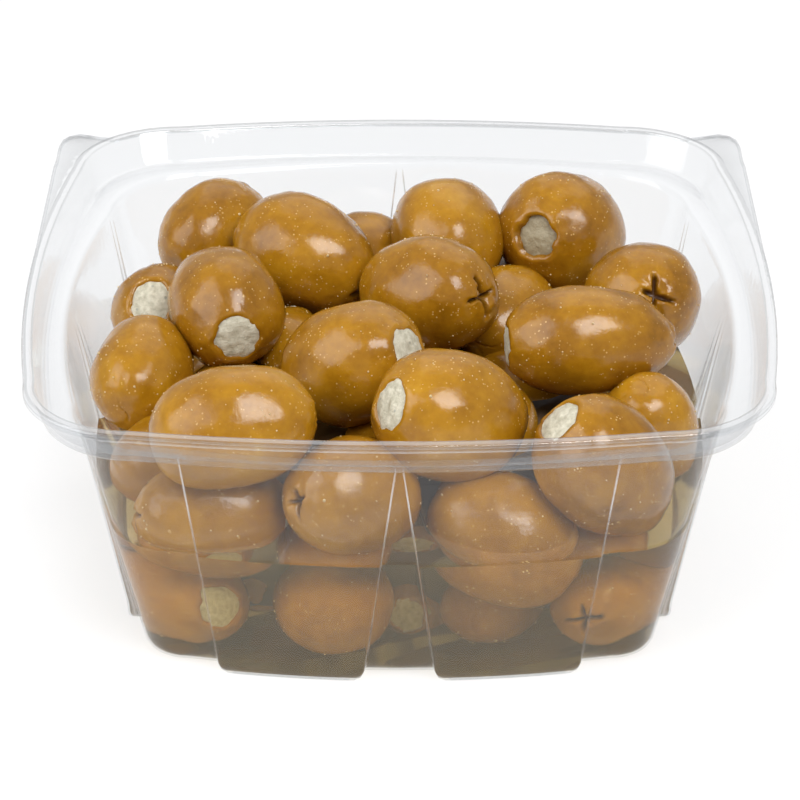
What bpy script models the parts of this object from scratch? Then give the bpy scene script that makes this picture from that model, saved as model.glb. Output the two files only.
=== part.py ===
"""Open clear deli tub of cheese-stuffed green olives, in metres, +Z up, standing on z = 0."""
import math
import random

import bmesh
import bpy
from mathutils import Matrix, Vector

MM = 0.001

# Driving dimensions of the tub, in millimetres
HEIGHT = 60.0
HALF_FLANGE = 71.4
HALF_BASE = 53.0
HALF_TOP = 64.5
SHEET = 0.7
BASE_RADIUS = 3.2
WALL_TOP = 52.2
LEDGE_TOP = 53.2
PANEL_TOP = 50.5
PANEL_PROUD = 2.3
PANEL_TOP_SPAN = (1.0, 39.0)
PANEL_LOW_SPAN = (7.0, 33.6)
PANEL_EDGE = 0.7
CORNER_ANGLES = (0, 10, 23, 31, 38, 43, 46, 60, 75, 90)

# The olives that the photo shows: centre in mm, heading and tilt of the stuffed end in degrees,
# length and width in mm, and whether the cheese in that end shows.
SHOWN_OLIVES = [
    # on top, from the back to the front
    (-37, 46, 46, 55, 15, 27, 21, False),
    (-21, 33, 48, 150, 11, 31, 24, False),
    (-4, 50, 40, 80, 0, 25, 20, False),
    (6, 43, 44, 100, 5, 28, 24, False),
    (34, 45, 47, -119, 19, 28, 26, True),
    (-40, 8, 49, -78, 0, 30, 23, True),
    (-53, 20, 41, -97, 40, 25, 20, True),
    (7, 13, 47, 138, -17, 31, 24, False),
    (50, 15, 45, 97, -30, 28, 24, False),
    (37, -9, 46, 185, 0, 35, 22, False),
    (-52, -9, 40, 80, 5, 28, 20, False),
    (-23, 8, 37, 90, 0, 24, 15, False),
    (-9, -15, 46, -30, 27, 30, 24, True),
    (22, 24, 36, 70, 0, 27, 21, False),
    (51, -17, 34, 80, 75, 27, 20, False),
    (-32, -43, 47, 186, -10, 32, 23, False),
    (10, -41, 48, -149, 25, 31, 25, True),
    (38, -42, 39, -169, 50, 30, 24, True),
    # behind the front wall
    (-9, -47, 35, 40, -17, 28, 23, False),
    (-38, -47, 28, 10, -5, 30, 21, False),
    (20, -46, 27, -20, -22, 30, 23, False),
    (-38, -38, 11, -62, 8, 28, 21, True),
    (-12, -42, 11, 80, 0, 25, 22, False),
    (3, -24, 11, -88, -15, 28, 19, True),
    (17, -38, 10, 60, 0, 22, 18, False),
    (40, -42, 11, 20, 0, 24, 20, False),
]
# The others, tried on a grid at each height and kept where no olive is near
FILLER_SIZE = (26.0, 21.0)
FILLER_HEIGHTS = (12.0, 21.0, 29.0, 36.0)
FILLER_COLUMNS = 11
FILLER_ROOM = 19.0
HEAP_CLEARANCE = 0.4
HEAP_TOP = 60.0
OLIVE_GIVE = 0.9
OLIVE_SIDES = 12
OLIVE_RINGS = 6
PLUG_RADIUS = 4.2
PLUG_DEPTH = 0.9

# Core of the heap, hidden between the olives
CORE_HEIGHTS = (8.0, 20.0, 29.0, 34.0)
CORE_INSET = 12.5
CORE_CORNER = 14.0


def material(name, colour, roughness, alpha=1.0, transmission=0.0):
    """A Principled material in the part's own colour."""
    made = bpy.data.materials.new(name)
    made.use_nodes = True
    shader = made.node_tree.nodes["Principled BSDF"]
    shader.inputs["Base Color"].default_value = (*colour, 1.0)
    shader.inputs["Roughness"].default_value = roughness
    shader.inputs["Metallic"].default_value = 0.0
    shader.inputs["Alpha"].default_value = alpha
    shader.inputs["Transmission Weight"].default_value = transmission
    return made


def blend(low, high, share):
    """The value a share of the way from low to high."""
    return low + (high - low) * share


def ear_reach(angle):
    """How far the rear corner tab reaches from the corner's centre, by angle from the side."""
    marks = ((0, 25.0), (10, 25.4), (23, 27.2), (31, 28.9), (38, 29.0), (43, 27.0), (46, 21.5))
    for (low, near), (high, far) in zip(marks, marks[1:]):
        if angle <= high:
            return blend(near, far, (angle - low) / (high - low))
    return 0.0


def side_stations(half_length, share):
    """Places along one side, from its middle outwards, with the two panel edges among them."""
    inner = blend(PANEL_LOW_SPAN[0], PANEL_TOP_SPAN[0], share)
    outer = blend(PANEL_LOW_SPAN[1], PANEL_TOP_SPAN[1], share)
    return ((inner - PANEL_EDGE, False), (inner, True), (blend(inner, outer, 0.5), True),
            (outer, True), (min(outer + PANEL_EDGE, half_length - 0.2), False))


def ring(half, height, radius, bow, crest=0.0, eared=False):
    """One closed loop of the tub's plan at a height: four bowed sides and four round corners."""
    share = min(max(height / PANEL_TOP, 0.0), 1.0)
    half_length = half - bow - radius
    marks = side_stations(half_length, share)
    along = [(-place, raised) for place, raised in reversed(marks)] + [(0.0, False)] + list(marks)
    loop = []
    for quarter in range(4):
        turn = Matrix.Rotation(math.radians(90 * quarter), 2)
        for place, raised in along:
            out = half - bow * (place / half_length) ** 2 + (crest if raised else 0.0)
            point = turn @ Vector((out, place))
            if eared and point.y > 0 and quarter in (0, 2):
                point.x = math.copysign(max(abs(point.x), half + 0.6 * point.y / half_length), point.x)
            loop.append(Vector((point.x, point.y, height)))
        for angle in reversed(CORNER_ANGLES) if quarter == 1 else CORNER_ANGLES:
            reach = radius
            if eared and quarter in (0, 1):
                reach = max(radius, ear_reach(angle) - (HALF_FLANGE - half))
            direction = math.radians(90 - angle if quarter == 1 else angle)
            corner = Vector((half_length + reach * math.cos(direction),
                             half_length + reach * math.sin(direction)))
            point = turn @ corner
            loop.append(Vector((point.x, point.y, height)))
    return loop


def wall_radius(height):
    """The outer radius of the wall's corners at a height."""
    return blend(8.5, 18.5, (height - BASE_RADIUS) / (WALL_TOP - BASE_RADIUS))


def wall_ring(height, inset):
    """The tapering wall at a height, with its four pairs of raised panels."""
    share = (height - BASE_RADIUS) / (WALL_TOP - BASE_RADIUS)
    half = blend(HALF_BASE, HALF_TOP, share) - inset
    radius = wall_radius(height) - inset
    crest = PANEL_PROUD * max(0.0, 1.0 - height / PANEL_TOP)
    return ring(half, height, radius, blend(4.2, 4.8, share), crest)


def tub_rings():
    """Loops of the tub's skin, from the edge of the base up the outside and down the inside."""
    thin = SHEET
    low_crest = PANEL_PROUD + 2.2
    return [
        ring(50.2, 0.0, 6.0, 4.2, low_crest),
        ring(51.9, 0.8, 7.4, 4.2, PANEL_PROUD + 1.0),
        wall_ring(BASE_RADIUS, 0.0),
        wall_ring(PANEL_TOP, 0.0),
        wall_ring(WALL_TOP, 0.0),
        ring(65.2, 52.5, 18.4, 4.7),
        ring(67.8, 52.7, 17.6, 4.0),
        ring(68.3, 53.3, 17.8, 3.9),
        ring(70.0, 59.3, 19.3, 3.7),
        ring(70.7, 59.3, 20.0, 3.7, eared=True),
        ring(70.7, 58.7, 20.0, 3.7, eared=True),
        ring(HALF_FLANGE, 58.7, 20.7, 3.7, eared=True),
        ring(HALF_FLANGE, 59.8, 20.7, 3.7, eared=True),
        ring(HALF_FLANGE - 0.2, HEIGHT, 20.5, 3.7, eared=True),
        ring(69.6, HEIGHT, 18.9, 3.7),
        ring(69.3, 59.7, 18.6, 3.7),
        ring(67.5, 53.6, 17.0, 3.9),
        ring(67.0, LEDGE_TOP + 0.1, 16.7, 4.0),
        ring(64.3, LEDGE_TOP, 18.0, 4.7),
        wall_ring(WALL_TOP, thin),
        wall_ring(PANEL_TOP, thin),
        wall_ring(BASE_RADIUS + 0.3, thin),
        ring(51.0, 1.4, 6.6, 4.2, PANEL_PROUD + 1.0),
        ring(49.8, thin, 5.6, 4.2, PANEL_PROUD + 1.9),
    ]


def inner_half(height):
    """Half the clear width between the walls at a height, to the middle of each side."""
    share = (height - BASE_RADIUS) / (WALL_TOP - BASE_RADIUS)
    return blend(HALF_BASE, HALF_TOP, share) - SHEET - HEAP_CLEARANCE


def heading(yaw, pitch):
    """The unit vector for a compass heading and a tilt, both in degrees."""
    flat = math.cos(math.radians(pitch))
    return Vector((flat * math.cos(math.radians(yaw)), flat * math.sin(math.radians(yaw)),
                   math.sin(math.radians(pitch))))


def olive_balls(olive):
    """Three balls that stand for an olive while the heap settles."""
    end_radius = 0.38 * olive["width"]
    reach = olive["axis"] * (olive["length"] / 2 - end_radius)
    return ((olive["centre"], OLIVE_GIVE * olive["width"] / 2), (olive["centre"] + reach, end_radius),
            (olive["centre"] - reach, end_radius))


def wall_push(centre, radius):
    """The shift that brings a ball back between the floor, the rim and the four bowed walls."""
    true_radius = radius / OLIVE_GIVE
    push = Vector((0, 0, max(0.0, SHEET + HEAP_CLEARANCE + true_radius - centre.z)))
    push.z -= max(0.0, centre.z + true_radius - HEAP_TOP)
    half = inner_half(centre.z) - 1.03 * true_radius
    bow = 4.4
    corner = max(1.0, wall_radius(centre.z) - SHEET - radius)
    flat_x = half - bow * min(1.0, (centre.y / 40) ** 2)
    flat_y = half - bow * min(1.0, (centre.x / 40) ** 2)
    if abs(centre.x) > flat_x:
        push.x = math.copysign(abs(centre.x) - flat_x, -centre.x)
    if abs(centre.y) > flat_y:
        push.y = math.copysign(abs(centre.y) - flat_y, -centre.y)
    pivot = half - bow - corner
    over_x = abs(centre.x) - pivot
    over_y = abs(centre.y) - pivot
    if over_x > 0 and over_y > 0:
        reach = math.hypot(over_x, over_y)
        if reach > corner:
            push.x = math.copysign(over_x * (1 - corner / reach), -centre.x)
            push.y = math.copysign(over_y * (1 - corner / reach), -centre.y)
    return push


def settle(olives, rounds=60):
    """Move olives apart where they press into each other, the floor or the walls."""
    for _ in range(rounds):
        for olive in olives:
            shift = Vector((0, 0, 0))
            for centre, radius in olive_balls(olive):
                push = wall_push(centre, radius)
                if push.length > shift.length:
                    shift = push
            olive["centre"] += shift
        for i, first in enumerate(olives):
            for second in olives[:i]:
                if (first["centre"] - second["centre"]).length > 34:
                    continue
                deepest = Vector((0, 0, 0))
                for near, near_radius in olive_balls(first):
                    for far, far_radius in olive_balls(second):
                        gap = near - far
                        depth = near_radius + far_radius - gap.length
                        if depth > deepest.length:
                            deepest = gap.normalized() * depth
                total = first["loose"] + second["loose"]
                first["centre"] += deepest * (first["loose"] / total)
                second["centre"] -= deepest * (second["loose"] / total)


def olive_heap():
    """Every olive in the tub: the ones that show, and rows of others beneath and behind them."""
    olives = []
    for x, y, z, yaw, pitch, length, width, cheese in SHOWN_OLIVES:
        olives.append({"centre": Vector((x, y, z)), "axis": heading(yaw, pitch), "length": length,
                       "width": width, "cheese": cheese, "loose": 0.05})
    draw = random.Random(7)
    for height in FILLER_HEIGHTS:
        reach = inner_half(height) - FILLER_SIZE[1] / 2 - 1.5
        for row in range(FILLER_COLUMNS):
            for column in range(FILLER_COLUMNS):
                place = Vector((blend(-reach, reach, column / (FILLER_COLUMNS - 1)),
                                blend(reach, -reach, row / (FILLER_COLUMNS - 1)), height))
                if min((place - olive["centre"]).length for olive in olives) < FILLER_ROOM:
                    continue
                axis = heading(draw.uniform(0, 360), draw.uniform(-25, 25))
                olives.append({"centre": place, "axis": axis, "length": FILLER_SIZE[0],
                               "width": FILLER_SIZE[1], "cheese": False, "loose": 1.0})
    settle(olives)
    return olives


def add_object(name, mesh_data, surface):
    """Wrap a bmesh as a named object in one material."""
    mesh = bpy.data.meshes.new(name)
    mesh_data.to_mesh(mesh)
    mesh_data.free()
    mesh.materials.append(surface)
    made = bpy.data.objects.new(name, mesh)
    bpy.context.scene.collection.objects.link(made)
    return made


def make_tub(surface):
    """The clear tub: one formed sheet with base, panelled walls, ledge, rim and flange."""
    shape = bmesh.new()
    loops = [[shape.verts.new(point * MM) for point in points] for points in tub_rings()]
    for low, high in zip(loops, loops[1:]):
        for i in range(len(low)):
            shape.faces.new((low[i - 1], low[i], high[i], high[i - 1]))
    floors = [shape.faces.new(loops[0]), shape.faces.new(loops[-1])]
    bmesh.ops.poke(shape, faces=floors)
    bmesh.ops.recalc_face_normals(shape, faces=shape.faces)
    made = add_object("tub", shape, surface)
    made.data.shade_smooth()
    made.data.set_sharp_from_angle(angle=math.radians(35))
    return made


def lathe(shape, centre, axis, profile, sides):
    """A closed solid of revolution: (distance along the axis, radius) pairs, with radius 0 at both ends."""
    turn = Vector((0, 0, 1)).rotation_difference(axis).to_matrix()
    rows = []
    for along, radius in profile[1:-1]:
        row = []
        for i in range(sides):
            angle = math.tau * i / sides
            spot = Vector((radius * math.cos(angle), radius * math.sin(angle), along))
            row.append(shape.verts.new((centre + turn @ spot) * MM))
        rows.append(row)
    start = shape.verts.new((centre + axis * profile[0][0]) * MM)
    end = shape.verts.new((centre + axis * profile[-1][0]) * MM)
    for i in range(sides):
        shape.faces.new((start, rows[0][i], rows[0][i - 1]))
        shape.faces.new((end, rows[-1][i - 1], rows[-1][i]))
        for low, high in zip(rows, rows[1:]):
            shape.faces.new((low[i - 1], low[i], high[i], high[i - 1]))


def olive_profile(olive):
    """Outline of one olive from its plain end to its stuffed end, where the cheese sits in a shallow hole."""
    half_length = olive["length"] / 2
    half_width = olive["width"] / 2
    profile = []
    for i in range(OLIVE_RINGS + 1):
        angle = math.pi * i / OLIVE_RINGS
        profile.append((-half_length * math.cos(angle), half_width * math.sin(angle)))
    if olive["cheese"]:
        tip = half_length * math.sqrt(1 - (PLUG_RADIUS / half_width) ** 2)
        profile[-1:] = [(tip, PLUG_RADIUS), (tip - PLUG_DEPTH, PLUG_RADIUS - 0.4), (tip - 0.2, 0.0)]
    else:
        profile[-1] = (half_length, 0.0)
    profile[0] = (-half_length, 0.0)
    return profile


def make_core():
    """The hidden middle of the heap, which ties the olives together."""
    shape = bmesh.new()
    loops = []
    for height in CORE_HEIGHTS:
        half = inner_half(height) - CORE_INSET
        loop = []
        for i in range(24):
            angle = math.tau * (i + 0.5) / 24
            pivot = half - CORE_CORNER
            spot = Vector((math.copysign(pivot, math.cos(angle)) + CORE_CORNER * math.cos(angle),
                           math.copysign(pivot, math.sin(angle)) + CORE_CORNER * math.sin(angle), height))
            loop.append(shape.verts.new(spot * MM))
        loops.append(loop)
    for low, high in zip(loops, loops[1:]):
        for i in range(len(low)):
            shape.faces.new((low[i - 1], low[i], high[i], high[i - 1]))
    shape.faces.new(reversed(loops[0]))
    shape.faces.new(loops[-1])
    return shape


def keep_outer_shell(made):
    """Drop loose scraps and the walls of sealed hollows, so that one closed skin is left."""
    shape = bmesh.new()
    shape.from_mesh(made.data)
    bmesh.ops.triangulate(shape, faces=shape.faces)
    unseen = set(shape.verts)
    shells = []
    while unseen:
        front = [unseen.pop()]
        shell = list(front)
        while front:
            vert = front.pop()
            for edge in vert.link_edges:
                other = edge.other_vert(vert)
                if other in unseen:
                    unseen.discard(other)
                    front.append(other)
                    shell.append(other)
        shells.append(shell)
    shells.sort(key=len)
    for shell in shells[:-1]:
        bmesh.ops.delete(shape, geom=shell, context="VERTS")
    shape.to_mesh(made.data)
    shape.free()


def make_heap(surface):
    """The heap of stuffed olives: every olive fused to the hidden core by one Boolean union."""
    heap = add_object("olive_heap", make_core(), surface)
    loose = bpy.data.collections.new("loose_olives")
    bpy.context.scene.collection.children.link(loose)
    for olive in olive_heap():
        shape = bmesh.new()
        lathe(shape, olive["centre"], olive["axis"], olive_profile(olive), OLIVE_SIDES)
        mesh = bpy.data.meshes.new("olive")
        shape.to_mesh(mesh)
        shape.free()
        mesh.materials.append(surface)
        loose.objects.link(bpy.data.objects.new("olive", mesh))
    join = heap.modifiers.new("join", "BOOLEAN")
    join.operation = "UNION"
    join.operand_type = "COLLECTION"
    join.collection = loose
    join.solver = "EXACT"
    whole = bpy.data.meshes.new_from_object(heap.evaluated_get(bpy.context.evaluated_depsgraph_get()))
    heap.modifiers.clear()
    heap.data = whole
    for olive in list(loose.objects):
        bpy.data.objects.remove(olive, do_unlink=True)
    bpy.data.collections.remove(loose)
    keep_outer_shell(heap)
    heap.data.shade_smooth()
    heap.data.set_sharp_from_angle(angle=math.radians(40))
    return heap


def main():
    for old in list(bpy.data.objects):
        bpy.data.objects.remove(old, do_unlink=True)
    plastic = material("clear_plastic", (0.93, 0.95, 0.97), 0.05, alpha=0.35, transmission=0.9)
    olive_skin = material("green_olive", (0.36, 0.20, 0.045), 0.35)
    make_tub(plastic)
    make_heap(olive_skin)


main()
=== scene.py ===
import math
import random

import bmesh
import bpy
from mathutils import Matrix, Vector, noise


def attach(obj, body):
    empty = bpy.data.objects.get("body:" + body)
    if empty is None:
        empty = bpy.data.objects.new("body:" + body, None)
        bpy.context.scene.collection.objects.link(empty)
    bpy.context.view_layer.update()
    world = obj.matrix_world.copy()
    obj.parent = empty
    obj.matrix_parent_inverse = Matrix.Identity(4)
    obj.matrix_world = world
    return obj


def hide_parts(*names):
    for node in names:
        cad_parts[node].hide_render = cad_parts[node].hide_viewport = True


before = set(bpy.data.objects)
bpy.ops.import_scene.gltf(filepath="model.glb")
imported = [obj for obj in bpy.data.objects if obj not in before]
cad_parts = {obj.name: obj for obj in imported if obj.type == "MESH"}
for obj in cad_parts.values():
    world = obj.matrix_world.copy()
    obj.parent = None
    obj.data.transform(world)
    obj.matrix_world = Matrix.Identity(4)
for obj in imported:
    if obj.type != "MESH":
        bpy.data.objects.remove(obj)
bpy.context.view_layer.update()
MM = 0.001

# Tub, in millimetres, as in the CAD
HEIGHT = 60.0
HALF_FLANGE = 71.4
HALF_BASE = 53.0
HALF_TOP = 64.5
SHEET = 0.7
BASE_RADIUS = 3.2
WALL_TOP = 52.2
LEDGE_TOP = 53.2
PANEL_TOP = 50.5
PANEL_PROUD = 2.3
PANEL_TOP_SPAN = (1.0, 39.0)
PANEL_LOW_SPAN = (7.0, 33.6)
PANEL_EDGE = 0.7
PANEL_SLOPE = ((-1.0, 0.0), (-0.75, 0.06), (-0.4, 0.5), (-0.1, 0.94))
PANEL_FLAT = 0.3
FOOT_ROUND = 2.4
FOOT_PROUD = 2.0
FOOT_TUCK = 2.8
FOOT_CORNER_TUCK = 2.5
FOOT_RISE = 0.3
LOW_CORNER = 8.5
HIGH_CORNER = 18.5
LOW_BOW = 4.2
HIGH_BOW = 4.8
CORNER_STEPS = 20

# How far each rear corner tab reaches from the corner's centre, by the angle from the side
EAR_MARKS = ((0, 25.0), (10, 25.2), (16, 25.8), (23, 27.1), (31, 28.7), (38, 28.75), (43, 27.0), (46, 21.5))
EAR_FLARE = 0.6

# How much painted glint the folds of the rim get as extra mirror, by the half width and the height of the
# fold
SIDE_MIDDLE = 16
RIM_FOLDS = {(67.4, 52.6): 0.5, (71.4, 58.6): 0.7, (71.4, 59.35): 0.5, (71.0, 60.0): 0.6,
             (69.8, 60.0): 0.6, (69.4, 59.9): 0.6, (66.7, 53.2): 0.4}
FOOT_SHARES = (0.0, 0.25, 0.5, 0.75)
SHARP_FOLD = math.radians(60)

# Brine
BRINE_LEVEL = 28.0
IN_WALL = 0.35

# Middle of the heap, a dark core of painted shade
CORE_HEIGHTS = (9.0, 16.0, 24.0, 33.0)
CORE_INSET = 22.0

# The olives that show: centre in mm, heading and tilt of the stuffed end in degrees, length, width
SHOWN_OLIVES = [
    # on top, from the back to the front
    (-37, 46, 46, 55, 15, 27, 21),
    (-21, 33, 48, 150, 11, 31, 24),
    (-4, 50, 40, 80, 0, 25, 20),
    (6, 43, 44, 100, 5, 28, 24),
    (34, 45, 47, -119, 19, 28, 26),
    (-40, 8, 49, -78, 0, 30, 23),
    (-53, 20, 41, -97, 40, 25, 20),
    (7, 13, 47, 138, -17, 31, 24),
    (50, 15, 45, 97, -30, 28, 24),
    (37, -9, 46, 185, 0, 35, 22),
    (-52, -9, 40, 80, 5, 28, 20),
    (-23, 8, 37, 90, 0, 24, 15),
    (-9, -15, 46, -30, 27, 30, 24),
    (22, 24, 36, 70, 0, 27, 21),
    (51, -17, 34, 80, -75, 27, 20),
    (-32, -43, 47, 186, -10, 32, 23),
    (10, -41, 48, -149, 25, 31, 25),
    (38, -42, 39, -169, 50, 30, 24),
    # behind the front wall
    (-9, -47, 35, 40, -17, 28, 23),
    (-38, -47, 28, 10, -5, 30, 21),
    (20, -46, 27, -20, -22, 30, 23),
    (-38, -38, 11, -62, 8, 28, 21),
    (-12, -42, 11, 80, 0, 25, 22),
    (3, -24, 11, -88, -15, 28, 19),
    (17, -38, 10, 60, 0, 22, 18),
    (40, -42, 11, 20, 0, 24, 20),
]
POINTED = 9
PLAIN_ENDS = (0, 3, 10, 13, 14, 20, 22, 24)
UNSTUFFED = (15, 20, 24)
TURNED = 25
TURNED_YAW = 73
FILLER_SIZE = (26.0, 21.0)
FILLER_HEIGHTS = (12.0, 21.0, 29.0, 36.0)
FILLER_COLUMNS = 11
FILLER_ROOM = 19.0
FILLER_DEEP = 1.5
HEAP_CLEARANCE = 0.4
HEAP_TOP = 60.0
OLIVE_GIVE = 0.9
END_GIRTH = 0.38
WALL_GIVE = 1.03
WALL_BOW = 4.4
BOW_REACH = 40
FAR_APART = 34
SHOWN_LOOSE = 0.05

# Finer forms of an olive, in millimetres, with each noise as its height and its rate
SHOWN_MESH = (60, 44)
FILLER_MESH = (40, 28)
END_CROWDING = 0.55
ROUNDNESS = 2.15
POINT_START = 0.6
POINT_SLIMNESS = 0.42
BROAD_DENTS = (0.65, 0.11)
SMALL_DENTS = (0.16, 0.35)
CREASE_DEPTH = 0.22
CREASE_WIDTH = 0.05
SKIN_INSET = 0.25
HOLE_RADIUS = 4.4
HOLE_DEPTH = 1.5
HOLE_LIP = 0.35
HOLE_RAGGED = (0.9, 0.35)
CUT_DEPTH = 1.7
CUT_RAGGED = (0.3, 0.9)
CUT_SWELL = 0.35
CUT_FLAPS = (0.5, 0.6)
TIP_REGAIN = 0.9
# How much deeper the cheese sits in an olive, by its order, which also darkens it with painted shade
SUNKEN = {4: 1.3}
TOP_ROOM = 0.4
FILLER_FRONT = 10

# Cheese
PLUG_OVERLAP = 0.6
PLUG_BULGE = 1.3
PLUG_SINK = 0.8
PLUG_LUMPS = (0.4, 0.6)
PLUG_CRUMBLE = (0.2, 1.7)
CRUMBS_EACH = 130
CRUMB_SPAN = 0.93
CRUMB_RADIUS = (0.09, 0.21)
CRUMB_PATCHES = 0.13
CRUMB_CHANCE = (-0.45, 0.35)
LARGE_CRUMB = 1.6
LARGE_CRUMB_SHARE = 0.08


def blend(low, high, share):
    """The value a share of the way from low to high."""
    return low + (high - low) * share


def smooth(value):
    """An eased step from 0 to 1."""
    share = min(max(value, 0.0), 1.0)
    return share * share * (3 - 2 * share)


# Outline and skin of the tub
def ear_reach(angle):
    """How far the rear corner tab reaches at an angle, or 0 where there is none."""
    for (low, near), (high, far) in zip(EAR_MARKS, EAR_MARKS[1:]):
        if angle <= high:
            return blend(near, far, (angle - low) / (high - low))
    return 0.0


def side_stations(half_length, height):
    """Places along half a side with how far the panel is raised there, from the middle outwards."""
    share = min(max(height / PANEL_TOP, 0.0), 1.0)
    rounding = FOOT_ROUND * (1 - math.sqrt(1 - max(0.0, 1 - height / FOOT_ROUND) ** 2))
    inner = blend(PANEL_LOW_SPAN[0], PANEL_TOP_SPAN[0], share) + rounding
    outer = blend(PANEL_LOW_SPAN[1], PANEL_TOP_SPAN[1], share) - rounding
    outer = min(outer, half_length - PANEL_EDGE - PANEL_FLAT)
    places = [(inner + aside * PANEL_EDGE, raised) for aside, raised in PANEL_SLOPE]
    places += [(blend(inner + PANEL_FLAT, outer - PANEL_FLAT, i / 7), 1.0) for i in range(8)]
    places += [(outer - aside * PANEL_EDGE, raised) for aside, raised in reversed(PANEL_SLOPE)]
    return places


def outline(half, height, radius, bow, crest=0.0, eared=False):
    """One closed loop of the tub's plan at a height: four bowed sides and four round corners."""
    half_length = half - bow - radius
    marks = side_stations(half_length, height)
    along = [(-place, raised) for place, raised in reversed(marks)] + [(0.0, 0.0)] + marks
    angles = [90 * i / CORNER_STEPS for i in range(CORNER_STEPS + 1)]
    loop = []
    for quarter in range(4):
        turn = Matrix.Rotation(math.radians(90 * quarter), 2)
        for place, raised in along:
            out = half - bow * (place / half_length) ** 2 + crest * raised
            point = turn @ Vector((out, place))
            if eared and point.y > 0 and quarter in (0, 2):
                flared = half + EAR_FLARE * point.y / half_length
                point.x = math.copysign(max(abs(point.x), flared), point.x)
            loop.append(Vector((point.x, point.y, height)))
        for angle in reversed(angles) if quarter == 1 else angles:
            reach = radius
            if eared and quarter in (0, 1):
                reach = max(radius, ear_reach(angle) - (HALF_FLANGE - half))
            direction = math.radians(90 - angle if quarter == 1 else angle)
            corner = Vector((half_length + reach * math.cos(direction),
                             half_length + reach * math.sin(direction)))
            point = turn @ corner
            loop.append(Vector((point.x, point.y, height)))
    return loop


def wall_radius(height):
    """The outer radius of the wall's corners at a height."""
    return blend(LOW_CORNER, HIGH_CORNER, (height - BASE_RADIUS) / (WALL_TOP - BASE_RADIUS))


def wall_outline(height, inset):
    """The tapering wall at a height, with its four pairs of raised panels."""
    share = (height - BASE_RADIUS) / (WALL_TOP - BASE_RADIUS)
    half = blend(HALF_BASE, HALF_TOP, share) - inset
    crest = PANEL_PROUD * max(0.0, 1.0 - height / PANEL_TOP)
    return outline(half, height, wall_radius(height) - inset, blend(LOW_BOW, HIGH_BOW, share), crest)


def base_outline(share, inset):
    """The rounded foot of the wall, from the base at 0 to the straight wall at 1."""
    angle = math.radians(90 * share)
    tucked = 1 - math.sin(angle)
    height = inset + (BASE_RADIUS + FOOT_RISE - inset) * (1 - math.cos(angle))
    half = HALF_BASE - inset - FOOT_TUCK * tucked
    radius = LOW_CORNER - inset - FOOT_CORNER_TUCK * tucked
    crest = PANEL_PROUD + FOOT_PROUD * tucked
    return outline(half, height, radius, LOW_BOW, crest)


def wall_heights(top, steps):
    """Heights of the straight wall from its foot to a top, in equal steps."""
    return [blend(BASE_RADIUS + FOOT_RISE, top, i / steps) for i in range(steps + 1)]


def panel_lines():
    """Which points of an outline lie on the folds at the sides of the panels, 1 on a fold."""
    marks = side_stations(100.0, PANEL_TOP)
    side = [1.0 if raised == 0.5 else 0.0 for _, raised in marks]
    corner = [0.0] * (CORNER_STEPS + 1)
    return (side[::-1] + [0.0] + side + corner) * 4


def loft(shape, outlines):
    """A skin through outlines with equal numbers of points: its first and last edges, and its rows."""
    verts = bmesh.ops.create_circle(shape, segments=len(outlines[0]), radius=1.0)["verts"]
    edges = list({edge for vert in verts for edge in vert.link_edges})
    for vert, point in zip(verts, outlines[0]):
        vert.co = point * MM
    first_edges = edges
    rows = [verts]
    for points in outlines[1:]:
        made = bmesh.ops.extrude_edge_only(shape, edges=edges)["geom"]
        fresh = {item for item in made if isinstance(item, bmesh.types.BMVert)}
        edges = [item for item in made if isinstance(item, bmesh.types.BMEdge)
                 and item.verts[0] in fresh and item.verts[1] in fresh]
        above = {}
        for vert in fresh:
            for edge in vert.link_edges:
                if edge.other_vert(vert) not in fresh:
                    above[edge.other_vert(vert)] = vert
        verts = [above[vert] for vert in verts]
        for vert, point in zip(verts, points):
            vert.co = point * MM
        rows.append(verts)
    return first_edges, edges, rows


def close_ends(shape, *loops):
    """Close each loop of edges with one flat face."""
    for edges in loops:
        bmesh.ops.contextual_create(shape, geom=edges)


def add_piece(name, shape, surface, replaced):
    """Make a bmesh a named piece that rides on the part and stands for a CAD node."""
    bmesh.ops.recalc_face_normals(shape, faces=shape.faces)
    mesh = bpy.data.meshes.new(name)
    shape.to_mesh(mesh)
    shape.free()
    mesh.materials.append(surface)
    mesh.shade_smooth()
    piece = bpy.data.objects.new(name, mesh)
    bpy.context.scene.collection.objects.link(piece)
    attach(piece, "root")
    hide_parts(replaced)
    return piece


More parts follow.
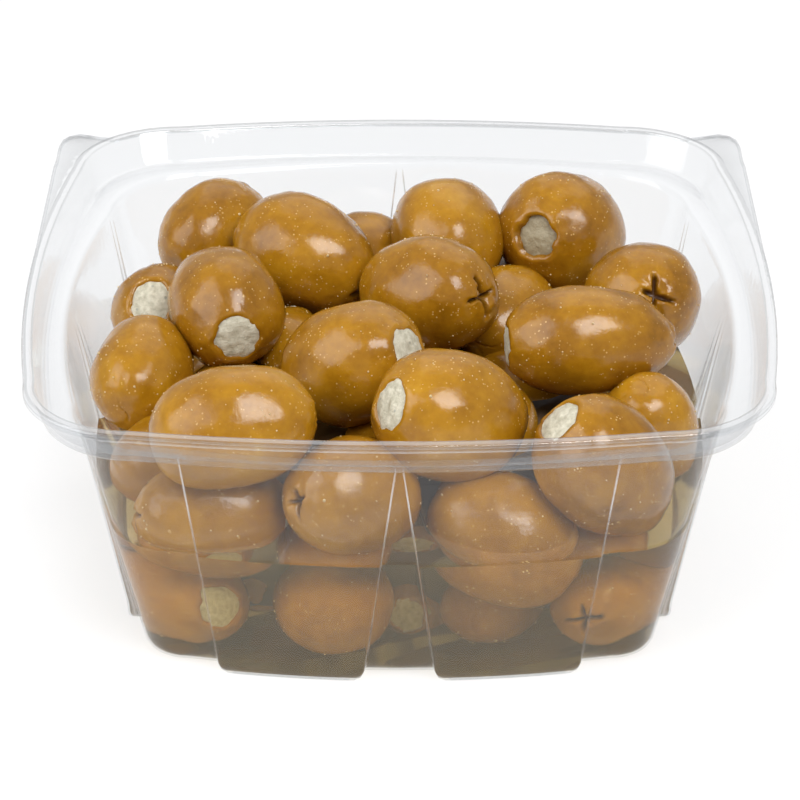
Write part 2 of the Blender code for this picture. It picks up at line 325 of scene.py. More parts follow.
def make_tub(surface):
    """The clear formed tub, from the middle of its underside up the outside and down the inside."""
    heights = wall_heights(PANEL_TOP, 9) + [WALL_TOP - 0.6]
    skin = [base_outline(share, 0.0) for share in FOOT_SHARES]
    skin += [wall_outline(height, 0.0) for height in heights]
    skin += [
        outline(64.6, 52.1, 18.45, 4.75),
        outline(64.9, 52.4, 18.4, 4.7),
        outline(65.4, 52.5, 18.3, 4.6),
        outline(67.4, 52.6, 17.7, 4.1),
        outline(68.0, 52.8, 17.6, 4.0),
        outline(68.3, 53.3, 17.8, 3.9),
        outline(69.9, 59.0, 19.2, 3.7),
        outline(70.3, 59.3, 19.6, 3.7),
        outline(70.8, 59.3, 20.1, 3.7, eared=True),
        outline(70.8, 58.5, 20.1, 3.7, eared=True),
        outline(71.1, 58.35, 20.4, 3.7, eared=True),
        outline(HALF_FLANGE, 58.6, 20.7, 3.7, eared=True),
        outline(HALF_FLANGE, 59.0, 20.7, 3.7, eared=True),
        outline(71.2, 59.3, 20.5, 3.7, eared=True),
        outline(HALF_FLANGE, 59.35, 20.7, 3.7),
        outline(71.3, 59.85, 20.6, 3.7),
        outline(71.0, HEIGHT, 20.3, 3.7),
        outline(69.8, HEIGHT, 19.1, 3.7),
        outline(69.4, 59.9, 18.7, 3.7),
        outline(69.15, 59.5, 18.5, 3.7),
        outline(67.6, 53.9, 17.1, 3.9),
        outline(67.2, 53.4, 16.9, 4.0),
        outline(66.7, LEDGE_TOP, 16.7, 4.1),
        outline(64.6, LEDGE_TOP, 17.9, 4.7),
        outline(64.1, 53.0, 17.9, 4.7),
        outline(63.85, 52.5, 17.85, 4.75),
    ]
    skin += [wall_outline(height, SHEET) for height in reversed(heights)]
    skin += [base_outline(share, SHEET) for share in reversed(FOOT_SHARES)]
    shape = bmesh.new()
    fold = shape.verts.layers.float.new("fold")
    wet = shape.verts.layers.float.new("wet")
    low_edges, floor_edges, rows = loft(shape, skin)
    lines = panel_lines()
    # Painted glint: the mirror share of the sheet is raised along the rim folds and the panel edges.
    for order, (row, points) in enumerate(zip(rows, skin)):
        height = points[0].z
        across = RIM_FOLDS.get((round(points[SIDE_MIDDLE].x, 2), round(height, 2)), 0.0)
        along = smooth((PANEL_TOP + 1 - height) / 2)
        inside = order >= len(rows) // 2
        soaked = smooth(BRINE_LEVEL + 0.5 - height) if inside else 0.0
        for vert, line in zip(row, lines):
            vert[fold] = max(across, along * line) * (1 - 0.8 * soaked)
            vert[wet] = soaked
    close_ends(shape, low_edges, floor_edges)
    piece = add_piece("tub_shell", shape, surface, "tub")
    piece.data.set_sharp_from_angle(angle=SHARP_FOLD)


def make_brine(surface):
    """The brine, from just inside the tub's sheet up to its level."""
    skin = [base_outline(share, IN_WALL) for share in FOOT_SHARES]
    skin += [wall_outline(height, IN_WALL) for height in wall_heights(BRINE_LEVEL, 6)]
    shape = bmesh.new()
    low_edges, top_edges, _ = loft(shape, skin)
    close_ends(shape, low_edges, top_edges)
    piece = add_piece("brine", shape, surface, "olive_heap")
    piece.data.set_sharp_from_angle(angle=SHARP_FOLD)


def make_core(surface):
    """The middle of the heap, under and behind the olives, dark with painted shade."""
    shape = bmesh.new()
    skin = [wall_outline(height, CORE_INSET) for height in CORE_HEIGHTS]
    low_edges, top_edges, _ = loft(shape, skin)
    close_ends(shape, low_edges, top_edges)
    add_piece("heap_core", shape, surface, "olive_heap")


# The heap, settled by the same rule as in the CAD
def inner_half(height):
    """Half the clear width between the walls at a height, to the middle of each side."""
    share = (height - BASE_RADIUS) / (WALL_TOP - BASE_RADIUS)
    return blend(HALF_BASE, HALF_TOP, share) - SHEET - HEAP_CLEARANCE


def heading(yaw, pitch):
    """The unit vector for a compass heading and a tilt, both in degrees."""
    flat = math.cos(math.radians(pitch))
    return Vector((flat * math.cos(math.radians(yaw)), flat * math.sin(math.radians(yaw)),
                   math.sin(math.radians(pitch))))


def olive_balls(olive):
    """Three balls that stand for an olive while the heap settles."""
    end_radius = END_GIRTH * olive["width"]
    reach = olive["axis"] * (olive["length"] / 2 - end_radius)
    return ((olive["centre"], OLIVE_GIVE * olive["width"] / 2), (olive["centre"] + reach, end_radius),
            (olive["centre"] - reach, end_radius))


def wall_push(centre, radius):
    """The shift that brings a ball back between the floor, the rim and the four bowed walls."""
    true_radius = radius / OLIVE_GIVE
    push = Vector((0, 0, max(0.0, SHEET + HEAP_CLEARANCE + true_radius - centre.z)))
    push.z -= max(0.0, centre.z + true_radius - HEAP_TOP)
    half = inner_half(centre.z) - WALL_GIVE * true_radius
    corner = max(1.0, wall_radius(centre.z) - SHEET - radius)
    flat_x = half - WALL_BOW * min(1.0, (centre.y / BOW_REACH) ** 2)
    flat_y = half - WALL_BOW * min(1.0, (centre.x / BOW_REACH) ** 2)
    if abs(centre.x) > flat_x:
        push.x = math.copysign(abs(centre.x) - flat_x, -centre.x)
    if abs(centre.y) > flat_y:
        push.y = math.copysign(abs(centre.y) - flat_y, -centre.y)
    pivot = half - WALL_BOW - corner
    over_x = abs(centre.x) - pivot
    over_y = abs(centre.y) - pivot
    if over_x > 0 and over_y > 0:
        reach = math.hypot(over_x, over_y)
        if reach > corner:
            push.x = math.copysign(over_x * (1 - corner / reach), -centre.x)
            push.y = math.copysign(over_y * (1 - corner / reach), -centre.y)
    return push


def settle(olives, rounds=60):
    """Move olives apart where they press into each other, the floor or the walls."""
    for _ in range(rounds):
        for olive in olives:
            shift = Vector((0, 0, 0))
            for centre, radius in olive_balls(olive):
                push = wall_push(centre, radius)
                if push.length > shift.length:
                    shift = push
            olive["centre"] += shift
        for i, first in enumerate(olives):
            for second in olives[:i]:
                if (first["centre"] - second["centre"]).length > FAR_APART:
                    continue
                deepest = Vector((0, 0, 0))
                for near, near_radius in olive_balls(first):
                    for far, far_radius in olive_balls(second):
                        gap = near - far
                        depth = near_radius + far_radius - gap.length
                        if depth > deepest.length:
                            deepest = gap.normalized() * depth
                total = first["loose"] + second["loose"]
                first["centre"] += deepest * (first["loose"] / total)
                second["centre"] -= deepest * (second["loose"] / total)


def olive_places():
    """Every olive in the tub: the ones that show, and others beneath and behind them."""
    olives = []
    for x, y, z, yaw, pitch, length, width in SHOWN_OLIVES:
        olives.append({"centre": Vector((x, y, z)), "axis": heading(yaw, pitch), "length": length,
                       "width": width, "loose": SHOWN_LOOSE})
    draw = random.Random(7)
    for height in FILLER_HEIGHTS:
        reach = inner_half(height) - FILLER_SIZE[1] / 2 - FILLER_DEEP
        for row in range(FILLER_COLUMNS):
            for column in range(FILLER_COLUMNS):
                place = Vector((blend(-reach, reach, column / (FILLER_COLUMNS - 1)),
                                blend(reach, -reach, row / (FILLER_COLUMNS - 1)), height))
                if min((place - olive["centre"]).length for olive in olives) < FILLER_ROOM:
                    continue
                axis = heading(draw.uniform(0, 360), draw.uniform(-25, 25))
                olives.append({"centre": place, "axis": axis, "length": FILLER_SIZE[0],
                               "width": FILLER_SIZE[1], "loose": 1.0})
    settle(olives)
    olives[TURNED]["axis"] = heading(TURNED_YAW, 0)
    return olives


# Olives, cheese and crumbs
def olive_frame(olive):
    """The matrix from an olive's own axes, with +Z to its stuffed end, to its place in millimetres."""
    turn = Vector((0, 0, 1)).rotation_difference(olive["axis"]).to_matrix().to_4x4()
    return Matrix.Translation(olive["centre"]) @ turn


def join_shape(whole, shape):
    """Add a finished small bmesh to a larger one."""
    mesh = bpy.data.meshes.new("small_shape")
    shape.to_mesh(mesh)
    shape.free()
    whole.from_mesh(mesh)
    bpy.data.meshes.remove(mesh)


def noise_at(spot, form):
    """Noise at a place, for a form given as its height and its rate."""
    height, rate = form
    return height * noise.noise(spot * rate)


def drawn_place(draw):
    """A place drawn at random, so that the same noise looks different there."""
    return Vector((draw.uniform(-50, 50), draw.uniform(-50, 50), draw.uniform(-50, 50)))


def give_form(olive, order, draw):
    """Settle what makes one olive differ from the next: its skin, its tone and its cross cut."""
    olive["tone"] = draw.uniform(0.0, 1.0)
    olive["own_place"] = drawn_place(draw)
    olive["pointed"] = order == POINTED
    olive["arms"] = []
    at_front = order >= len(SHOWN_OLIVES) and olive["centre"].y < FILLER_FRONT
    olive["sunk"] = SUNKEN.get(order, 0.0)
    olive["stuffed"] = order not in UNSTUFFED and not at_front
    if order not in PLAIN_ENDS and not at_front:
        turn = draw.uniform(0, 90)
        for quarter in range(4):
            olive["arms"].append((math.radians(turn + 90 * quarter + draw.uniform(-14, 14)),
                                  draw.uniform(2.6, 5.2), draw.uniform(0.28, 0.6)))


def cut_depth(olive, spot, radius, around):
    """How deep the cross cut is at a place near the plain end, from 0 to 1."""
    ragged = noise_at(spot + olive["own_place"], CUT_RAGGED)
    depth = 0.75 * smooth((1.1 + ragged - radius) / 0.5)
    for arm, reach, width in olive["arms"]:
        if math.cos(around - arm) > 0:
            aside = radius * abs(math.sin(around - arm)) + ragged
            taper = smooth((reach - radius) / 1.8)
            depth = max(depth, smooth((width + 0.2 - aside) / 0.4) * taper)
    return depth if olive["arms"] else 0.0


def skin_point(olive, along, around):
    """A point of an olive's skin on its own axes in millimetres, with how much painted shade darkens it in
    the cut or hole.
    """
    own_place = olive["own_place"]
    girth = max(0.0, 1 - abs(along) ** ROUNDNESS) ** (1 / ROUNDNESS) * (1 + 0.05 * along)
    if olive["pointed"] and along < -POINT_START:
        girth *= 1 - POINT_SLIMNESS * ((-along - POINT_START) / (1 - POINT_START)) ** 1.4
    radius = olive["width"] / 2 * girth
    spot = Vector((radius * math.cos(around), radius * math.sin(around), olive["length"] / 2 * along))
    out = Vector((math.cos(around) * girth, math.sin(around) * girth, along)).normalized()
    skin = noise_at(spot + own_place, BROAD_DENTS) + noise_at(spot + own_place, SMALL_DENTS)
    crease = abs(noise.noise(Vector((spot.x * 0.22, spot.y * 0.22, spot.z * 0.06)) + own_place))
    skin -= CREASE_DEPTH * smooth((CREASE_WIDTH - crease) / CREASE_WIDTH) * smooth((abs(along) - 0.2) / 0.5)
    spot += out * (skin - SKIN_INSET)
    if along > 0 and not olive["stuffed"]:
        return spot, 0.0
    if along > 0:
        edge = HOLE_RADIUS + noise_at(spot + own_place, HOLE_RAGGED) - radius
        hole = smooth(edge / 0.7)
        spot.z -= (HOLE_DEPTH + olive["sunk"]) * hole
        spot.z += HOLE_LIP * math.exp(-((edge + 0.9) / 0.7) ** 2)
        # The skin sunk into the hole gets painted shade.
        return spot, 0.75 * hole
    # The cross cut gets painted shade by its depth.
    depth = cut_depth(olive, spot, radius, around)
    spot.z += CUT_DEPTH * depth
    spot.z += TIP_REGAIN * math.exp(-(radius / 3.4) ** 2)
    if olive["arms"]:
        swell = math.exp(-((radius - 2.6) / 1.3) ** 2) * (1 - depth)
        spot.z -= swell * (CUT_SWELL + noise_at(spot + own_place, CUT_FLAPS))
    return spot, depth


def keep_under_rim(olive):
    """Lower an olive whose skin would stand over the top of the heap."""
    place = olive_frame(olive)
    highest = max((place @ skin_point(olive, 1 - i / 10, math.tau * j / 20)[0]).z
                  for i in range(21) for j in range(20))
    olive["centre"].z -= max(0.0, highest - HEAP_TOP + TOP_ROOM)


def shape_olive(olive, fine):
    """One olive as a small bmesh, with its rings closer together towards both ends."""
    shape = bmesh.new()
    recess_shade = shape.verts.layers.float.new("recess_shade")
    tone = shape.verts.layers.float.new("tone")
    place = olive_frame(olive)
    segments, rings = SHOWN_MESH if fine else FILLER_MESH
    verts = bmesh.ops.create_uvsphere(shape, u_segments=segments, v_segments=rings, radius=1.0)["verts"]
    for vert in verts:
        share = math.acos(max(-1.0, min(1.0, vert.co.z))) / math.pi
        share -= END_CROWDING * math.sin(math.tau * share) / math.tau
        spot, dark = skin_point(olive, math.cos(math.pi * share), math.atan2(vert.co.y, vert.co.x))
        vert.co = place @ spot * MM
        # Painted shade in the cut and the hole, kept on the mesh.
        vert[recess_shade] = dark
        vert[tone] = olive["tone"]
    return shape


def make_olives(surface, olives):
    """Every olive's skin as one piece."""
    shape = bmesh.new()
    shape.verts.layers.float.new("recess_shade")
    shape.verts.layers.float.new("tone")
    for order, olive in enumerate(olives):
        join_shape(shape, shape_olive(olive, order < len(SHOWN_OLIVES)))
    add_piece("olives", shape, surface, "olive_heap")


def make_crumbs(surface, olives):
    """Tiny crumbs of cheese that stick to the skins, more of them in some places than in others."""
    shape = bmesh.new()
    draw = random.Random(23)
    for olive in olives[:len(SHOWN_OLIVES)]:
        place = olive_frame(olive)
        for _ in range(CRUMBS_EACH):
            along = draw.uniform(-CRUMB_SPAN, CRUMB_SPAN)
            spot, _ = skin_point(olive, along, draw.uniform(0, math.tau))
            thick = noise.noise((spot + olive["own_place"]) * CRUMB_PATCHES)
            if thick < draw.uniform(*CRUMB_CHANCE):
                continue
            size = draw.uniform(*CRUMB_RADIUS)
            size *= LARGE_CRUMB if draw.random() < LARGE_CRUMB_SHARE else 1.0
            crumb = bmesh.new()
            bmesh.ops.create_icosphere(crumb, subdivisions=1, radius=size * MM)
            bmesh.ops.rotate(crumb, verts=crumb.verts, cent=(0, 0, 0),
                             matrix=Matrix.Rotation(draw.uniform(0, math.tau), 3, "X"))
            bmesh.ops.translate(crumb, verts=crumb.verts, vec=place @ spot * MM)
            join_shape(shape, crumb)
    add_piece("cheese_crumbs", shape, surface, "olive_heap")


def make_cheese(surface, olives):
    """The cheese in the stuffed end of every olive as one piece."""
    shape = bmesh.new()
    shape.verts.layers.float.new("shade")
    draw = random.Random(5)
    for olive in olives:
        if not olive["stuffed"]:
            continue
        place = olive_frame(olive)
        tip = olive["length"] / 2 * math.sqrt(1 - (HOLE_RADIUS / (olive["width"] / 2)) ** 2)
        shift = drawn_place(draw)
        across = HOLE_RADIUS + PLUG_OVERLAP
        plug = bmesh.new()
        shade = plug.verts.layers.float.new("shade")
        bmesh.ops.create_icosphere(plug, subdivisions=4, radius=1.0)
        for vert in plug.verts:
            spot = Vector((vert.co.x * across, vert.co.y * across, vert.co.z * PLUG_BULGE))
            rough = noise_at(spot + shift, PLUG_LUMPS) + noise_at(spot + shift, PLUG_CRUMBLE)
            spot += vert.co * rough
            spot.z += tip - PLUG_SINK - olive["sunk"]
            # Painted shade: cheese sunk deeper into its olive is darkened.
            vert[shade] = smooth(olive["sunk"])
            vert.co = place @ spot * MM
        join_shape(shape, plug)
    add_piece("cheese", shape, surface, "olive_heap")


# Materials
def surface_nodes(name):
    """A new material with its node tree and its shader."""
    made = bpy.data.materials.new(name)
    made.use_nodes = True
    tree = made.node_tree
    return made, tree, tree.nodes["Principled BSDF"]


def object_place(tree):
    """Object coordinates in millimetres."""
    place = tree.nodes.new("ShaderNodeTexCoord")
    mapping = tree.nodes.new("ShaderNodeMapping")
    mapping.inputs["Scale"].default_value = (1 / MM, 1 / MM, 1 / MM)
    tree.links.new(place.outputs["Object"], mapping.inputs["Vector"])
    return mapping.outputs["Vector"]


def ramp_node(tree, value, stops):
    """A colour ramp with (place, colour) stops."""
    made = tree.nodes.new("ShaderNodeValToRGB")
    ramp = made.color_ramp
    ramp.elements[0].position, ramp.elements[0].color = stops[0][0], (*stops[0][1], 1)
    ramp.elements[1].position, ramp.elements[1].color = stops[-1][0], (*stops[-1][1], 1)
    for place, colour in stops[1:-1]:
        ramp.elements.new(place).color = (*colour, 1)
    tree.links.new(value, made.inputs["Fac"])
    return made.outputs["Color"]


def grey_stops(low, high, start=0.0, end=1.0):
    """Two grey stops for a colour ramp."""
    return [(start, (low, low, low)), (end, (high, high, high))]


def mix_colour(tree, share, under, over):
    """Blend from a colour's socket to a plain colour by the socket of a share."""
    made = tree.nodes.new("ShaderNodeMix")
    made.data_type = "RGBA"
    tree.links.new(share, made.inputs["Factor"])
    tree.links.new(under, made.inputs["A"])
    made.inputs["B"].default_value = (*over, 1)
    return made.outputs["Result"]


def math_node(tree, kind, *values):
    """One arithmetic node on sockets or numbers."""
    made = tree.nodes.new("ShaderNodeMath")
    made.operation = kind
    for i, value in enumerate(values):
        if isinstance(value, bpy.types.NodeSocket):
            tree.links.new(value, made.inputs[i])
        else:
            made.inputs[i].default_value = value
    return made.outputs["Value"]


def bump_node(tree, height, strength, distance, under=None):
    """A bump in millimetres, over another normal where one is given."""
    made = tree.nodes.new("ShaderNodeBump")
    made.inputs["Strength"].default_value = strength
    made.inputs["Distance"].default_value = distance * MM
    tree.links.new(height, made.inputs["Height"])
    if under is not None:
        tree.links.new(under, made.inputs["Normal"])
    return made.outputs["Normal"]


def new_group(name, inputs, output):
    """A shader node group with named number inputs after its Place, and one named output."""
    tree = bpy.data.node_groups.new(name, "ShaderNodeTree")
    tree.interface.new_socket("Place", in_out="INPUT", socket_type="NodeSocketVector")
    for label, value in inputs:
        tree.interface.new_socket(label, in_out="INPUT", socket_type="NodeSocketFloat").default_value = value
    tree.interface.new_socket(output, in_out="OUTPUT", socket_type="NodeSocketFloat")
    return tree, tree.nodes.new("NodeGroupInput").outputs, tree.nodes.new("NodeGroupOutput").inputs


def cloudy_tone_group():
    """Soft uneven tone: Grain is the size of its patches in millimetres, Sharpness their contrast."""
    tree, given, result = new_group("cloudy_tone", [("Grain", 5.0), ("Sharpness", 1.0)], "Tone")
    clouds = tree.nodes.new("ShaderNodeTexNoise")
    clouds.inputs["Detail"].default_value = 4.0
    clouds.inputs["Roughness"].default_value = 0.6
    tree.links.new(given["Place"], clouds.inputs["Vector"])
    tree.links.new(math_node(tree, "DIVIDE", 1.0, given["Grain"]), clouds.inputs["Scale"])
    centred = math_node(tree, "SUBTRACT", clouds.outputs["Fac"], 0.5)
    spread = math_node(tree, "MULTIPLY_ADD", centred, given["Sharpness"], 0.5)
    tree.links.new(spread, result["Tone"])
    return tree


def fine_specks_group():
    """Small round specks: Grain is their spacing in millimetres, Share how many cells hold one."""
    tree, given, result = new_group("fine_specks", [("Grain", 1.3), ("Share", 0.4), ("Size", 0.2)], "Mask")
    cells = tree.nodes.new("ShaderNodeTexVoronoi")
    tree.links.new(given["Place"], cells.inputs["Vector"])
    tree.links.new(math_node(tree, "DIVIDE", 1.0, given["Grain"]), cells.inputs["Scale"])
    edge = math_node(tree, "SUBTRACT", given["Size"], cells.outputs["Distance"])
    spot = math_node(tree, "MULTIPLY", edge, 8.0)
    spot.node.use_clamp = True
    chosen = math_node(tree, "LESS_THAN", cells.outputs["Color"], given["Share"])
    tree.links.new(math_node(tree, "MULTIPLY", spot, chosen), result["Mask"])
    return tree


def use_group(tree, name, place, *values):
    """One of the shared groups in a material, with its numbers in the order of its inputs."""
    node = tree.nodes.new("ShaderNodeGroup")
    node.node_tree = SHARED_GROUPS[name]
    tree.links.new(place, node.inputs["Place"])
    for socket, value in zip(list(node.inputs)[1:], values):
        socket.default_value = value
    return node.outputs[0]


def attribute_node(tree, name):
    """A number kept on the mesh."""
    made = tree.nodes.new("ShaderNodeAttribute")
    made.attribute_name = name
    return made.outputs["Fac"]


def olive_skin():
    """Wet golden-brown skin with broad patches, mottling, dusty specks, an uneven shine and painted shade in
    the cuts and holes.
    """
    made, tree, shader = surface_nodes("olive_skin")
    place = object_place(tree)
    recess_shade = attribute_node(tree, "recess_shade")
    broad = use_group(tree, "cloudy_tone", place, 11.0, 1.15)
    mottle = use_group(tree, "cloudy_tone", place, 1.6, 1.0)
    grain = use_group(tree, "cloudy_tone", place, 0.42, 1.0)
    shade = math_node(tree, "MULTIPLY_ADD", broad, 0.62, math_node(tree, "MULTIPLY", mottle, 0.22))
    shade = math_node(tree, "MULTIPLY_ADD", attribute_node(tree, "tone"), 0.16, shade)
    colour = ramp_node(tree, shade, [(0.22, (0.160, 0.061, 0.002)), (0.42, (0.305, 0.132, 0.005)),
                                     (0.60, (0.425, 0.200, 0.008)), (0.85, (0.570, 0.318, 0.026))])
    tiny = use_group(tree, "fine_specks", place, 0.70, 0.36, 0.30)
    small = use_group(tree, "fine_specks", place, 1.6, 0.33, 0.18)
    patches = use_group(tree, "cloudy_tone", place, 5.0, 1.0)
    dusty = ramp_node(tree, patches, grey_stops(0.0, 1.0, 0.42, 0.58))
    specks = math_node(tree, "MULTIPLY", math_node(tree, "MAXIMUM", tiny, small), dusty)
    colour = mix_colour(tree, math_node(tree, "MULTIPLY", specks, 0.7), colour, (0.72, 0.48, 0.17))
    # Painted shade: the cross cut and the skin sunk into the hole are darkened.
    colour = mix_colour(tree, recess_shade, colour, (0.085, 0.030, 0.005))
    tree.links.new(colour, shader.inputs["Base Color"])
    tree.links.new(ramp_node(tree, grain, grey_stops(0.10, 0.22, 0.3, 0.7)), shader.inputs["Roughness"])
    shader.inputs["IOR"].default_value = 1.5
    shader.inputs["Subsurface Weight"].default_value = 0.10
    shader.inputs["Subsurface Radius"].default_value = (1.0, 0.5, 0.15)
    shader.inputs["Subsurface Scale"].default_value = 2.0 * MM
    low = bump_node(tree, mottle, 0.35, 0.20)
    tree.links.new(bump_node(tree, grain, 0.50, 0.05, low), shader.inputs["Normal"])
    return made


def cheese_paste(name, low, high, spots):
    """Pale crumbly cheese with blue-grey spots, and painted shade where it sits sunk deep in its olive."""
    made, tree, shader = surface_nodes(name)
    place = object_place(tree)
    crumb = use_group(tree, "cloudy_tone", place, 1.1, 1.6)
    fine = use_group(tree, "cloudy_tone", place, 0.35, 1.0)
    colour = ramp_node(tree, crumb, [(0.2, low), (0.8, high)])
    mould = use_group(tree, "fine_specks", place, 1.5, spots, 0.26)
    colour = mix_colour(tree, math_node(tree, "MULTIPLY", mould, 0.6), colour, (0.22, 0.24, 0.21))
    # Painted shade on the sunken cheese.
    colour = mix_colour(tree, attribute_node(tree, "shade"), colour, (0.33, 0.28, 0.18))
    tree.links.new(colour, shader.inputs["Base Color"])
    tree.links.new(ramp_node(tree, fine, grey_stops(0.35, 0.60)), shader.inputs["Roughness"])
    low_bump = bump_node(tree, crumb, 0.6, 0.35)
    tree.links.new(bump_node(tree, fine, 0.7, 0.12, low_bump), shader.inputs["Normal"])
    return made


def painted_heap_shade():
    """Painted shade: a dark brown that stands for the shaded olives deep in the heap, and only shows in the
    gaps.
    """
    made, tree, shader = surface_nodes("painted_heap_shade")
    tone = use_group(tree, "cloudy_tone", object_place(tree), 8.0, 1.4)
    tree.links.new(ramp_node(tree, tone, [(0.3, (0.030, 0.014, 0.003)), (0.7, (0.085, 0.045, 0.012))]),
                   shader.inputs["Base Color"])
    tree.links.new(ramp_node(tree, tone, grey_stops(0.25, 0.45)), shader.inputs["Roughness"])
    return made


def let_lamps_through(tree, seen, tint):
    """Let straight light pass a clear material, so that it casts only a faint shadow."""
    path = tree.nodes.new("ShaderNodeLightPath")
    clear = tree.nodes.new("ShaderNodeBsdfTransparent")
    clear.inputs["Color"].default_value = (*tint, 1)
    mix = tree.nodes.new("ShaderNodeMixShader")
    tree.links.new(path.outputs["Is Shadow Ray"], mix.inputs["Fac"])
    tree.links.new(seen, mix.inputs[1])
    tree.links.new(clear.outputs["BSDF"], mix.inputs[2])
    tree.links.new(mix.outputs["Shader"], tree.nodes["Material Output"].inputs["Surface"])


def clear_plastic():
    """Thin clear formed sheet: a pale mirror that shows more the flatter it is seen and, as a painted glint,
    along the folds, over clearness.
    """
    made, tree, shader = surface_nodes("clear_plastic_sheet")
    shader.inputs["Base Color"].default_value = (0.78, 0.78, 0.785, 1)
    shader.inputs["Metallic"].default_value = 0.8
    ripple = use_group(tree, "cloudy_tone", object_place(tree), 16.0, 1.0)
    tree.links.new(ramp_node(tree, ripple, grey_stops(0.03, 0.09, 0.3, 0.7)), shader.inputs["Roughness"])
    tree.links.new(bump_node(tree, ripple, 0.15, 1.0), shader.inputs["Normal"])
    facing = tree.nodes.new("ShaderNodeLayerWeight")
    facing.inputs["Blend"].default_value = 0.5
    steep = math_node(tree, "POWER", facing.outputs["Facing"], 4.5)
    shine = math_node(tree, "MULTIPLY_ADD", steep, 0.55, 0.048)
    dry = math_node(tree, "MULTIPLY_ADD", attribute_node(tree, "wet"), -0.85, 1.0)
    shine = math_node(tree, "MULTIPLY", shine, dry)
    # Painted glint along the folds.
    shine = math_node(tree, "MULTIPLY_ADD", attribute_node(tree, "fold"), 0.50, shine)
    clear = tree.nodes.new("ShaderNodeBsdfTransparent")
    clear.inputs["Color"].default_value = (0.955, 0.96, 0.965, 1)
    mix = tree.nodes.new("ShaderNodeMixShader")
    tree.links.new(shine, mix.inputs["Fac"])
    tree.links.new(clear.outputs["BSDF"], mix.inputs[1])
    tree.links.new(shader.outputs["BSDF"], mix.inputs[2])
    let_lamps_through(tree, mix.outputs["Shader"], (0.90, 0.905, 0.91))
    return made


def cloudy_brine():
    """Cloudy olive brine, darker and yellower the deeper it is."""
    made, tree, shader = surface_nodes("cloudy_brine")
    cloud = use_group(tree, "cloudy_tone", object_place(tree), 20.0, 1.2)
    colour = ramp_node(tree, cloud, [(0.3, (0.82, 0.66, 0.34)), (0.7, (0.90, 0.74, 0.42))])
    tree.links.new(colour, shader.inputs["Base Color"])
    tree.links.new(ramp_node(tree, cloud, grey_stops(0.05, 0.12, 0.3, 0.7)), shader.inputs["Roughness"])
    shader.inputs["IOR"].default_value = 1.33
    shader.inputs["Transmission Weight"].default_value = 0.92
    let_lamps_through(tree, shader.outputs["BSDF"], (0.97, 0.94, 0.85))
    depth = tree.nodes.new("ShaderNodeVolumeAbsorption")
    depth.inputs["Color"].default_value = (0.76, 0.64, 0.20, 1)
    depth.inputs["Density"].default_value = 22.0
    tree.links.new(depth.outputs["Volume"], tree.nodes["Material Output"].inputs["Volume"])
    return made


def white_floor():
    """Matt white light table, unlit where the tub stands."""
    made, tree, shader = surface_nodes("white_floor")
    shader.inputs["Base Color"].default_value = (0.38, 0.38, 0.38, 1)
    shader.inputs["Emission Color"].default_value = (1, 1, 1, 1)
    apart = tree.nodes.new("ShaderNodeSeparateXYZ")
    tree.links.new(object_place(tree), apart.inputs["Vector"])
    sides = [math_node(tree, "ABSOLUTE", apart.outputs[axis]) for axis in "XY"]
    powers = [math_node(tree, "POWER", side, 4.0) for side in sides]
    reach = math_node(tree, "POWER", math_node(tree, "ADD", *powers), 0.25)
    lit = math_node(tree, "MULTIPLY_ADD", reach, 0.16, -7.0)
    lit.node.use_clamp = True
    tree.links.new(math_node(tree, "MULTIPLY", lit, 0.62), shader.inputs["Emission Strength"])
    shader.inputs["Roughness"].default_value = 0.9
    shader.inputs["Specular IOR Level"].default_value = 0.1
    return made


# Studio
CAMERA_TARGET = Vector((0.0001, 0.0, 0.0302))
CAMERA_ELEVATION = math.radians(28.58)
CAMERA_DISTANCE = 0.58825
CAMERA_LENS = 133.5
LIGHT_TARGET = Vector((0, 0, 0.03))
LIGHTS = [
    # name, place, width in metres, power in watts
    ("key_softbox", (0.25, -0.40, 0.70), 0.42, 4.6),
    ("left_panel", (-0.85, -0.35, 0.70), 1.0, 8.2),
    ("back_panel", (0.10, 0.70, 0.80), 0.9, 1.7),
]
SKY_COLOUR = (0.97, 0.98, 1.0, 1)
SKY_STRENGTH = 0.42


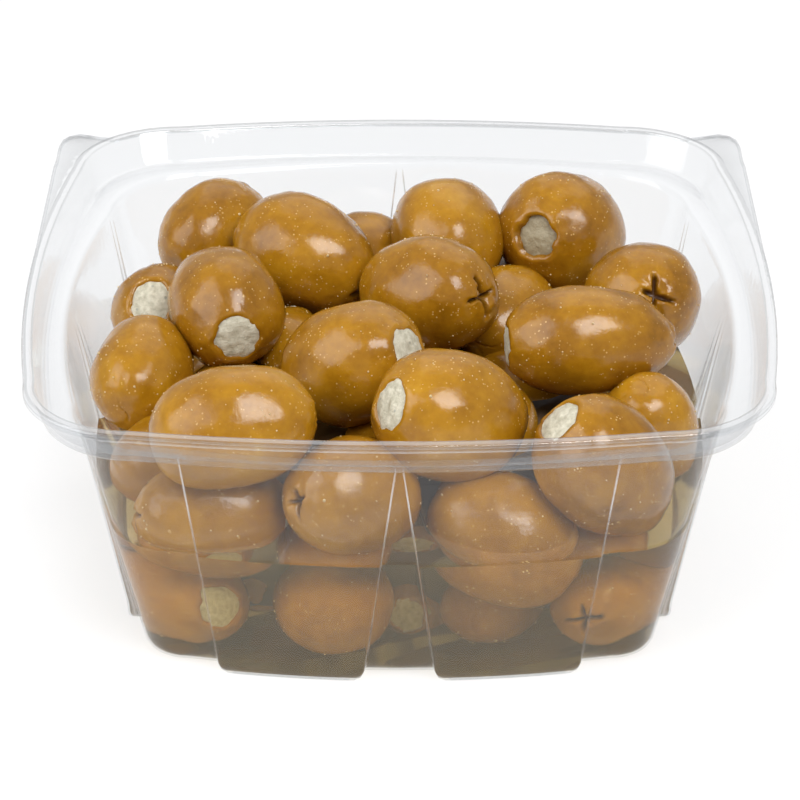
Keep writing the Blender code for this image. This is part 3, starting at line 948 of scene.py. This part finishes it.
def add_light(name, place, size, power):
    """A square soft box that faces the tub."""
    data = bpy.data.lights.new(name, "AREA")
    data.size = size
    data.energy = power
    light = bpy.data.objects.new(name, data)
    bpy.context.scene.collection.objects.link(light)
    light.location = place
    light.rotation_euler = (LIGHT_TARGET - light.location).to_track_quat("-Z", "Y").to_euler()


def make_studio():
    """The floor, the even sky, the soft boxes and the camera as fitted to the photo."""
    shape = bmesh.new()
    bmesh.ops.create_grid(shape, x_segments=1, y_segments=1, size=2.5)
    mesh = bpy.data.meshes.new("floor")
    shape.to_mesh(mesh)
    shape.free()
    mesh.materials.append(white_floor())
    floor = bpy.data.objects.new("floor", mesh)
    bpy.context.scene.collection.objects.link(floor)
    world = bpy.data.worlds.new("studio")
    bpy.context.scene.world = world
    world.use_nodes = True
    sky = world.node_tree.nodes["Background"]
    sky.inputs["Color"].default_value = SKY_COLOUR
    sky.inputs["Strength"].default_value = SKY_STRENGTH
    for light in LIGHTS:
        add_light(*light)
    data = bpy.data.cameras.new("camera")
    data.lens = CAMERA_LENS
    data.sensor_width = 36.0
    data.clip_start = 0.01
    camera = bpy.data.objects.new("camera", data)
    bpy.context.scene.collection.objects.link(camera)
    away = Vector((0, -math.cos(CAMERA_ELEVATION), math.sin(CAMERA_ELEVATION)))
    camera.location = CAMERA_TARGET + away * CAMERA_DISTANCE
    camera.rotation_euler = (-away).to_track_quat("-Z", "Y").to_euler()
    bpy.context.scene.camera = camera
    bpy.context.scene.view_settings.view_transform = "Standard"


SHARED_GROUPS = {"cloudy_tone": cloudy_tone_group(), "fine_specks": fine_specks_group()}
olives = olive_places()
form_draw = random.Random(11)
for order, olive in enumerate(olives):
    give_form(olive, order, form_draw)
    keep_under_rim(olive)
make_tub(clear_plastic())
make_brine(cloudy_brine())
make_core(painted_heap_shade())
make_olives(olive_skin(), olives)
make_cheese(cheese_paste("cheese_filling", (0.44, 0.41, 0.30), (0.70, 0.66, 0.53), 0.3), olives)
make_crumbs(cheese_paste("cheese_crumb", (0.58, 0.40, 0.16), (0.74, 0.58, 0.32), 0.05), olives)
make_studio()
